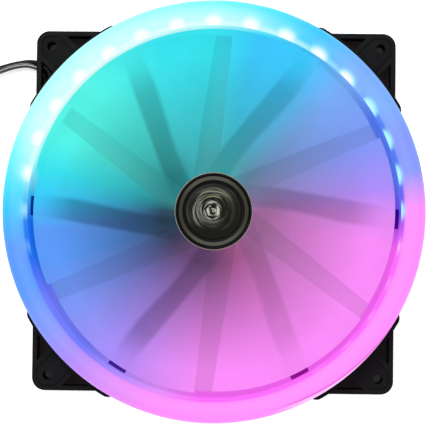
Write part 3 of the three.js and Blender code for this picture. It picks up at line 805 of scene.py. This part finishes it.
def softbox(name, place, size, power):
    """A soft light that faces the fan's middle."""
    data = bpy.data.lights.new(name, "AREA")
    data.shape = "RECTANGLE"
    data.size, data.size_y = size
    data.energy = power
    light = bpy.data.objects.new(name, data)
    light.location = place
    light.rotation_euler = Vector(place).to_track_quat("Z", "Y").to_euler()
    scene.collection.objects.link(light)


softbox("key", (-0.35, 0.55, 1.1), (0.9, 0.5), 11)
softbox("fill", (0.7, -0.6, 0.9), (0.8, 0.8), 5)

# Cords.
power_points = [*POWER_ROUTE, *coil(POWER_COIL, 114, 5 * 360 + 26, 1), *POWER_TAIL]
light_points = [*LIGHT_ROUTE, *coil(LIGHT_COIL, 280, 5 * 360 + 45, -1), *LIGHT_TAIL]
power_cord = cord_curve("power_cord", power_points, CABLE_RADIUS, cable_looks["power"])
light_cord = cord_curve("light_cord", light_points, CABLE_RADIUS, cable_looks["light"])
for cord, stem in ((power_cord, "power"), (light_cord, "light")):
    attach(cord, STILL)
    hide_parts(f"{stem}_cable", f"{stem}_cable_coil", f"{stem}_cable_tail")


def plug_housing(ribs):
    """A flat four-way plug housing with sockets in its mouth, a latch window and key ribs."""
    width, length, height, pitch, pin = 10.2, 12.4, 5.6, 2.54, 0.7
    pins = [(k - 1.5) * pitch for k in range(4)]
    outline = rounded(oblong(-width / 2, 0, width / 2, length), 0.35)
    body = prism(outline, 0.02, height)
    keys = [brick((x - 0.5, 4, height - 0.3), (x + 0.5, length - 0.05, height + 0.7)) for x in ribs]
    body = joined(body, *keys)
    holes = [
        brick((x - pin, 1.5, height / 2 - pin), (x + pin, length + 1, height / 2 + pin))
        for x in pins
    ]
    windows = [
        brick((x - 0.55, 3.2, height - 0.6), (x + 0.55, 6.6, height + 0.4))
        for x in pins if all(abs(x - rib) > 1.15 for rib in ribs)
    ]
    entry = brick((-2, -1, height / 2 - 1.4), (2, 1, height / 2 + 1.4))
    return cut(body, *holes, *windows, entry)


power_plug = piece(
    "power_plug", moved(spun(plug_housing((-2.4, 2.4)), 180), *PLUG_SPOTS[0]), connector_look,
    "power_connector", bevel=0.15)
light_plug = piece(
    "light_plug", moved(plug_housing((0,)), *PLUG_SPOTS[1]), connector_look,
    "light_connector", bevel=0.15)


def cable_tie(centre, degrees):
    """A strap round the turns of a coil."""
    wall, half, bottom, top = 0.3, 2, 0.4, 5.2
    near, far = 8.9, 17.6
    outer = oblong(near - 2 * wall, bottom - wall + 0.05, far + 2 * wall, top + 2 * wall)
    inner = oblong(near - wall, bottom - 0.05, far + wall, top + wall)
    strap = cut(
        prism(rounded(outer, 0.9, 6), -half, half), prism(rounded(inner, 0.7, 6), -half - 1, half + 1))
    bmesh.ops.rotate(strap, verts=strap.verts, cent=(0, 0, 0), matrix=Matrix.Rotation(math.pi / 2, 3, "X"))
    return moved(spun(strap, degrees), *centre)


for stem, centre, degrees in (("power", POWER_COIL, 270), ("light", LIGHT_COIL, 90)):
    piece(f"{stem}_tie", cable_tie(centre, degrees), tie_look, f"{stem}_cable_tie", bevel=0.1)


# Frame.
def corner_blocks():
    square = prism(rounded_square(BLOCK_HALF, BLOCK_CORNER), 0, BLOCK_DEPTH)
    solid = cut(square, disc(DUCT_OUTER - 1, -1, BLOCK_DEPTH + 1, CURVE_SIDES))
    pockets = []
    for degrees in (0, 90, 180, 270):
        outline = rounded_square(BLOCK_HALF - RIM_WALL, BLOCK_CORNER - RIM_WALL)
        inside = prism(outline, POCKET_FLOOR, BLOCK_DEPTH + 1)
        quarter = brick((40, 40, 0), (100, 100, BLOCK_DEPTH + 2))
        ribs = spun(brick((0, -RIB_HALF, 0), (REACH, RIB_HALF, BLOCK_DEPTH + 2)), 45)
        keep_out = disc(FLANGE_RADIUS, 0, BLOCK_DEPTH + 2, CURVE_SIDES)
        pocket = combined(inside, ("INTERSECT", quarter), ("DIFFERENCE", keep_out), ("DIFFERENCE", ribs))
        channel = spun(brick((FLANGE_RADIUS, -PAD_HALF, PAD_FLOOR), (REACH, PAD_HALF, BLOCK_DEPTH + 2)), 45)
        limit = prism(outline, POCKET_FLOOR, BLOCK_DEPTH + 3)
        pockets.append(spun(pocket, degrees))
        pockets.append(spun(combined(channel, ("INTERSECT", limit)), degrees))
    return cut(solid, *pockets)


def flanges():
    made = []
    for degrees in CORNERS:
        start, end = degrees - FLANGE_SPAN, degrees + FLANGE_SPAN
        made.append(sector(DUCT_OUTER - 1, FLANGE_RADIUS, start, end, 0, BLOCK_DEPTH))
        for side in (-1, 1):
            spot = polar(FLANGE_RADIUS - LUG_RADIUS, degrees + side * FLANGE_SPAN)
            made.append(disc(LUG_RADIUS, 0, BLOCK_DEPTH, 48, spot))
    return made


def arms():
    outline = [(along, near) for along, near, _ in ARM_EDGES]
    outline += [(along, far) for along, _, far in reversed(ARM_EDGES)]
    turns = [ARM_START + 360 * k / ARM_COUNT for k in range(ARM_COUNT)]
    made = [spun(prism(outline, ARM_BOTTOM, ARM_TOP), degrees) for degrees in turns]
    inside = turned(oblong(0, BASE_TOP, BASE_RADIUS - BASE_WALL, ARM_TOP + 1), 128, 0)
    return cut(joined(*made), inside)


def slot_between(start, end, half, bottom, top):
    """A straight slot with round ends."""
    along = math.degrees(math.atan2(end[1] - start[1], end[0] - start[0]))
    outline = [(end[0] + x, end[1] + y) for x, y in arc(half, along - 90, along + 90, 8)]
    outline += [(start[0] + x, start[1] + y) for x, y in arc(half, along + 90, along + 270, 8)]
    return prism(outline, bottom, top)


def motor_base():
    inside = BASE_RADIUS - BASE_WALL
    return turned([
        (SHAFT_HOLE, ARM_BOTTOM), (BASE_RADIUS, ARM_BOTTOM), (BASE_RADIUS, ARM_TOP), (inside, ARM_TOP),
        (inside, BASE_TOP), (SHAFT_HOLE, BASE_TOP)], 128, 0)


LEAD_ARM = ARM_START + 180
MOTOR_LEAD = [
    polar(along, LEAD_ARM) + polar((near + far) / 2, LEAD_ARM + 90, 2.8 if along < 20 else 2.1)
    for along, near, far in ARM_EDGES
]
ON_DUCT = len(MOTOR_LEAD) - 1
MOTOR_LEAD += [polar(GUTTER_RADIUS, degrees, 2.4) for degrees in (175, 170, 165, 160, 157)]
MOTOR_LEAD += [
    (-81.3, 46, 2.6), (-80.6, 53, 2.8), (-80.3, 59, 3), (-80.5, 64, 3.2), (-82, 66.7, 3.35),
    (-83.8, 67.25, 3.4),
]
LEAD_ENTRY = (-72.3, 58.5)
LIGHT_LEAD = (
    (*LEAD_ENTRY, 15.6), (-72.4, 58.6, 12), (-72.7, 59, 7), (-74, 60.6, 3.8), (-76.5, 63.8, 2.9),
    (-79.4, 68.2, 2.9), (-81.6, 69.5, 3), (-83.8, 69.8, 3),
)
for name, points in (("motor_lead", MOTOR_LEAD), ("light_lead", LIGHT_LEAD)):
    lead = cord_curve(f"{name}_wire", points, LEAD_RADIUS, cable_looks["lead"])
    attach(lead, STILL)
    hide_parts(name)

SCREW_PLACES = [polar(SCREW_CIRCLE, degrees + side * SCREW_ANGLE) for degrees in CORNERS for side in (-1, 1)]


def fan_frame():
    duct = turned(oblong(DUCT_INNER, 0, DUCT_OUTER, BLOCK_DEPTH), CURVE_SIDES, 0)
    whole = joined(duct, corner_blocks(), *flanges(), arms(), motor_base())
    whole = joined(
        whole,
        sector(DUCT_OUTER - 1, GUTTER_OUTER, GUTTER_START, GUTTER_END, TRENCH_TOP, TRENCH_TOP + 1.4),
        sector(GUTTER_OUTER - 1.2, GUTTER_OUTER, GUTTER_START, GUTTER_END, 0.6, TRENCH_TOP + 1))
    holes = [
        disc(HOLE_RADIUS, -1, BLOCK_DEPTH + 1, 40, (sx * HOLE_PLACE, sy * HOLE_PLACE))
        for sx in (-1, 1) for sy in (-1, 1)
    ]
    corner = [*MOTOR_LEAD[ON_DUCT + 6:], (-86, 67.5, 0)]
    inner = [*LIGHT_LEAD[3:], (-86, 70, 0)]
    for points, half, top in (
            (MOTOR_LEAD[:ON_DUCT + 1], TRENCH_HALF + 0.3, ARM_TOP - 1),
            (MOTOR_LEAD[ON_DUCT:ON_DUCT + 7], TRENCH_HALF + 0.5, TRENCH_TOP),
            (corner, TRENCH_HALF, TRENCH_TOP), (inner, TRENCH_HALF, TRENCH_TOP),
            ([LEAD_ENTRY, LIGHT_LEAD[3]], TRENCH_HALF, BLOCK_DEPTH + 1)):
        holes += [slot_between(start, end, half, -1, top) for start, end in zip(points, points[1:])]
    for spot in SCREW_PLACES:
        holes.append(disc(SCREW_HOLE, -1, BLOCK_DEPTH + 1, 24, spot))
        holes.append(disc(SCREW_SINK, -1, SCREW_SEAT, 32, spot))
    return cut(whole, *holes)


piece("fan_frame", fan_frame(), black_plastic, "frame", sharp=30)


def corner_pad():
    inset = RIM_WALL + PAD_EDGE
    inside = prism(rounded_square(BLOCK_HALF - inset, BLOCK_CORNER - inset), PAD_FLOOR, PAD_TOP)
    half = PAD_HALF - PAD_EDGE
    strip = spun(brick((FLANGE_RADIUS + PAD_EDGE, -half, 0), (REACH, half, BLOCK_DEPTH)), 45)
    hole = disc(HOLE_RADIUS, 0, BLOCK_DEPTH, 40, (HOLE_PLACE, HOLE_PLACE))
    return combined(inside, ("INTERSECT", strip), ("DIFFERENCE", hole))


for k in range(4):
    piece(f"pad_{k + 1}", spun(corner_pad(), 90 * k), pad_rubber,
          f"corner_pad_{k + 1}", bevel=PAD_ROUND)


def screw():
    """A pan head with a cross recess, its head towards the rear."""
    shape = turned([
        (0, SCREW_SEAT - 1.8), (SCREW_HEAD, SCREW_SEAT - 1.8, 0.9), (SCREW_HEAD, SCREW_SEAT),
        (SCREW_SHANK, SCREW_SEAT), (SCREW_SHANK, SCREW_TOP, 0.4), (0, SCREW_TOP)], 48, 0.15, 5)
    slots = [spun(brick((-1.4, -0.4, 0), (1.4, 0.4, SCREW_SEAT - 0.9)), degrees) for degrees in (0, 90)]
    return cut(shape, *slots)


steel_look = grained("screw_steel", (0.36, 0.36, 0.38), 0.32, 1.0, grain=1600, depth=0.02, strength=0.2)
for k, spot in enumerate(SCREW_PLACES):
    piece(f"screw_{k + 1}", moved(screw(), spot.x, spot.y), steel_look,
          f"ring_screw_{k + 1}", sharp=40)


def label_look():
    """Blank pale film with a thin dark border."""
    made = Look("label_film", (0.52, 0.53, 0.55), 0.38, 0.6)
    _, radius, _ = around(made)
    border = made.fade(made.apart(radius, BORDER_RADIUS), 0.15, 0.3)
    film = made.mix(made.noise(250, 3), (0.47, 0.48, 0.5), (0.57, 0.58, 0.6))
    made.feed("Base Color", made.mix(border, film, (0.03, 0.03, 0.03)))
    return made.vary_roughness(made.noise(400, 3), 0.08).bump(made.noise(120, 2), 0.15, 0.05)


label = turned(oblong(0, LABEL_LOW, LABEL_RADIUS, ARM_BOTTOM), 128, 0.1)
piece("rear_badge", label, label_look(), "rear_label")

# Light ring.
def ring_base():
    """The chips' channel and its liner. The CAD solid's bosses and holes, out of sight, are left out."""
    liner = RING_INNER + LINER_WALL
    lip_outer = RING_OUTER - RING_WALL - GAP
    lip_inner = lip_outer - LIP_WALL
    return turned([
        (RING_INNER, LINER_FOOT), (liner, LINER_FOOT), (liner, BLOCK_DEPTH, 0.1), (RING_OUTER, BLOCK_DEPTH),
        (RING_OUTER, RING_FLOOR), (lip_outer, RING_FLOOR), (lip_outer, LIP_TOP), (lip_inner, LIP_TOP),
        (lip_inner, RING_FLOOR), (RING_INNER + RING_WALL, RING_FLOOR),
        (RING_INNER + RING_WALL, LINER_TOP, 0.05), (RING_INNER, LINER_TOP, 0.05)], CURVE_SIDES, 0.2)


piece("ring_base", ring_base(), base_look(), "light_ring_base")


def diffuser():
    middle = (RING_INNER + RING_OUTER) / 2
    half = (RING_OUTER - RING_INNER) / 2

    def arch(width, height, steps=28):
        angles = [math.pi * k / steps for k in range(steps + 1)]
        return [(middle + width * math.cos(a), RING_SHOULDER + height * math.sin(a)) for a in angles]

    rise = RING_TOP - RING_SHOULDER
    inner_foot, outer_foot = RING_STEP + GAP, RING_FLOOR + GAP
    return turned([
        (RING_OUTER, outer_foot + FOOT_EDGE), *arch(half, rise), (RING_INNER, inner_foot + 0.04),
        (RING_INNER + 0.04, inner_foot), (RING_INNER + RING_WALL, inner_foot),
        *reversed(arch(half - RING_WALL, rise - RING_WALL)), (RING_OUTER - RING_WALL, outer_foot),
        (RING_OUTER - FOOT_EDGE, outer_foot)], CURVE_SIDES, 0)


piece("ring_diffuser", diffuser(), ring_look(), "light_ring_diffuser")


# Rotor.
def blade(k, steps_along=28, steps_across=36):
    """A thin slab that climbs from its trailing to its leading edge, rounded all round."""
    solid = bmesh.new()
    sheets = []
    for side in (1, -1):
        sheet = []
        for i in range(steps_along + 1):
            along = i / steps_along
            radius = lerp(BLADE_ROOT, BLADE_TIP, along)
            gap = lerp(BLADE_GAP_ROOT, BLADE_GAP_TIP, along)
            start = BLADE_START + math.degrees(math.asin(gap / radius))
            end = BLADE_START + 360 / BLADE_COUNT
            row = []
            for j in range(steps_across + 1):
                across = smooth_ends(j / steps_across)
                high = lerp(BLADE_HIGH_ROOT, BLADE_HIGH_TIP, along)
                climb = 1 - (1 - across) ** 1.6
                edge = min(1.0, 0.12 + 5 * math.sqrt(min(across, 1 - across) * 0.1))
                tip = min(1.0, 0.15 + math.sqrt(max(0.0, (1 - along) * 12)))
                z = lerp(BLADE_LOW, high, climb) + side * BLADE_THICKNESS / 2 * edge * tip
                degrees = lerp(start, end, across) + 360 / BLADE_COUNT * k
                row.append(solid.verts.new(polar(radius, degrees, z)))
            sheet.append(row)
        sheets.append(sheet)
    upper, lower = sheets
    for i in range(steps_along):
        for j in range(steps_across):
            solid.faces.new((upper[i][j], upper[i + 1][j], upper[i + 1][j + 1], upper[i][j + 1]))
            solid.faces.new((lower[i][j], lower[i][j + 1], lower[i + 1][j + 1], lower[i + 1][j]))
    rim = [(i, 0) for i in range(steps_along)]
    rim += [(steps_along, j) for j in range(steps_across)]
    rim += [(i, steps_across) for i in range(steps_along, 0, -1)]
    rim += [(0, j) for j in range(steps_across, 0, -1)]
    for (i, j), (p, q) in zip(rim, rim[1:] + rim[:1]):
        solid.faces.new((upper[i][j], upper[p][q], lower[p][q], lower[i][j]))
    bmesh.ops.recalc_face_normals(solid, faces=solid.faces)
    return solid


def smooth_ends(share):
    """Packs the steps closer together near both edges."""
    return 0.5 - 0.5 * math.cos(math.pi * share)


sleeve = turned(oblong(SLEEVE_INNER, SLEEVE_BOTTOM, HUB_RADIUS, SLEEVE_TOP), 128, 0.25)
impeller = joined(sleeve, *(blade(k) for k in range(BLADE_COUNT)))
piece("fan_impeller", impeller, blade_look(), "impeller", TURNING, sharp=50)


def hub_look():
    """Glossy black with a thin pale painted highlight along the rounded edge of its rim."""
    made = Look("hub_black", (0.003, 0.003, 0.0034), 0.36, specular=0.1)
    _, radius, z = around(made)
    rim = made.times(made.span(radius, 17.55, 17.75), made.span(z, 20.6, 21.1))
    # Painted highlight: a pale line round the hub's rounded top edge.
    edge_highlight = made.mix(made.noise(500, 3), srgb(120, 116, 104), srgb(178, 172, 158))
    dark = made.mix(made.noise(150, 3), (0.002, 0.002, 0.0024), (0.004, 0.004, 0.0045))
    made.feed("Base Color", made.mix(rim, dark, edge_highlight))
    made.vary_roughness(made.noise(200, 3), 0.06)
    return made.bump(made.noise(900, 3), 0.05, 0.02)


piece("hub_shell", turned([
    (0, SOCKET_TOP), (SOCKET_INNER, SOCKET_TOP), (SOCKET_INNER, SOCKET_BOTTOM), (SOCKET_OUTER, SOCKET_BOTTOM),
    (SOCKET_OUTER, CAP_UNDER), (SKIRT_INNER, CAP_UNDER), (SKIRT_INNER, SKIRT_BOTTOM),
    (SKIRT_OUTER, SKIRT_BOTTOM), (SKIRT_OUTER, CAP_UNDER), (HUB_RADIUS - 0.3, CAP_UNDER),
    (HUB_RADIUS, CAP_UNDER + 0.3), (HUB_RADIUS, CAP_TOP, 0.9), (TRIM_OUTER + 0.1, CAP_TOP),
    (TRIM_OUTER + 0.1, CAP_RECESS), (0, CAP_RECESS)], 128, 0.2),
    hub_look(), "hub_cap", TURNING)


def trim_look():
    """Dull olive metal with fine turned lines, and painted reflections that make it lighter at the top and
    the bottom.
    """
    made = brushed("trim_olive", (0.034, 0.033, 0.02), 0.5, 9000, 0.2)
    share, radius, _ = around(made)
    made.set("Specular IOR Level", 0.12)
    # Painted reflections: paler bands at the top and the bottom, fixed in the world.
    pale = made.most(bump_round(made, share, 0.27, 0.06, 0.12), bump_round(made, share, 0.76, 0.06, 0.14))
    face = made.mix(pale, made.fed("Base Color"), (0.07, 0.068, 0.056))
    groove = made.span(radius, 15.95, 16.1)
    made.feed("Base Color", made.mix(groove, face, (0.002, 0.002, 0.0022)))
    return made


piece("trim_ring", turned([
    (TRIM_INNER, CAP_RECESS), (TRIM_OUTER, CAP_RECESS), (TRIM_OUTER, CAP_TOP + 0.4, 0.4),
    (TRIM_INNER, CAP_TOP + 0.4, 0.4)], 160, 0.1),
    trim_look(), "hub_trim_ring", TURNING)


def badge_look():
    """Dark glassy spun metal: broken streaks along circles, as bumps and as painted glints, with a painted
    bright middle a little off centre and brighter towards the upper left.
    """
    made = Look("badge_metal", (0.006, 0.006, 0.004), 0.3, 0.0, specular=0.1)
    own = made.split(made.own())
    x = made.math("MULTIPLY_ADD", own[0], 1 / MM, 0.5)
    y = made.math("MULTIPLY_ADD", own[1], 1 / MM, -0.3)
    radius = made.length(x, y)
    along = made.nodes.new("ShaderNodeCombineXYZ")
    bend = made.times(radius, 1 / 0.55)
    made.plug(made.math("DIVIDE", x, bend), along.inputs[0])
    made.plug(made.math("DIVIDE", y, bend), along.inputs[1])
    made.plug(made.times(radius, 0.8), along.inputs[2])
    # The streaks are fine grooves in the bump and painted glints in the colour, brightest in the middle and
    # towards the upper left.
    streak = made.span(made.noise(1.1, 3, where=along.outputs[0]), 0.44, 0.6)
    middle = made.fade(radius, 2.5, 7)
    upper = made.span(made.math("ADD", y, made.times(x, -0.8)), -5, 5, 0.14, 0.75)
    reach = made.span(radius, 8.5, 11.5, 1.0, 0.15)
    amount = made.times(streak, made.most(middle, made.times(upper, reach)))
    hue = made.ramp(made.noise(0.9, 2, where=along.outputs[0]), (
        (0.35, srgb(118, 122, 70)), (0.5, srgb(170, 172, 150)), (0.62, srgb(128, 118, 136)),
        (0.75, srgb(190, 192, 178))))
    bright = made.mix(middle, hue, srgb(214, 216, 196))
    bright = made.mix(0.3, bright, BLACK)
    made.feed("Base Color", made.mix(amount, srgb(20, 20, 15), bright))
    return made.bump(streak, 0.3, 0.05)


piece("badge", turned([
    (0, CAP_RECESS), (BADGE_RADIUS, CAP_RECESS), (BADGE_RADIUS, CAP_TOP - 0.1, 0.4), (8.9, CAP_TOP - 0.02),
    (8.5, CAP_TOP + 0.05), (0, CAP_TOP + 0.1)], 160, 0.1),
    badge_look(), "hub_badge", TURNING)


# Inside, out of sight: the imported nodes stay, with their own finishes.
def wound_look():
    made = Look("copper_wire", (0.62, 0.24, 0.09), 0.35, 0.9)
    made.vary_color(made.wave(420, "Z"), 0.35)
    return made.bump(made.wave(420, "Z"), 0.6, 0.1)


turned_steel = grained("turned_steel", (0.4, 0.41, 0.43), 0.3, 1.0, grain=1600, depth=0.02)
bobbin_cream = grained("bobbin_cream", (0.72, 0.67, 0.5), 0.55, grain=900, depth=0.03)
chip_black = grained("chip_black", (0.015, 0.015, 0.016), 0.45, grain=1700, depth=0.02)
inside_looks = {
    "bearing_tube": grained("bearing_brass", (0.5, 0.34, 0.11), 0.35, 0.9, grain=1200, depth=0.02),
    "sleeve_bearing": grained("bearing_bronze", (0.3, 0.16, 0.06), 0.55, 0.7, grain=1500, depth=0.04),
    "bearing_plug": grained("plug_black", (0.012, 0.012, 0.012), 0.5),
    "thrust_pad": grained("thrust_white", (0.8, 0.78, 0.7), 0.4, grain=800, depth=0.02),
    "stator_core": grained("core_steel", (0.16, 0.17, 0.18), 0.45, 0.9, grain=1800, depth=0.03),
    "motor_pcb": grained("board_green", (0.012, 0.09, 0.04), 0.4, grain=1500, depth=0.03, patch=0.3),
    "led_strip": grained("strip_white", (0.75, 0.78, 0.78), 0.5, grain=1000, depth=0.02),
    "rotor_magnet": grained("ferrite", (0.035, 0.03, 0.028), 0.7, grain=1400, depth=0.05),
    **dict.fromkeys(("rotor_yoke", "shaft", "retaining_clip"), turned_steel),
    **dict.fromkeys(("bobbin_upper", "bobbin_lower"), bobbin_cream),
    **dict.fromkeys(("driver_ic", "hall_sensor"), chip_black),
    **dict.fromkeys(("coil_1", "coil_2", "coil_3", "coil_4"), wound_look()),
}
for name, look in inside_looks.items():
    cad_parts[name].material_slots[0].material = look.material
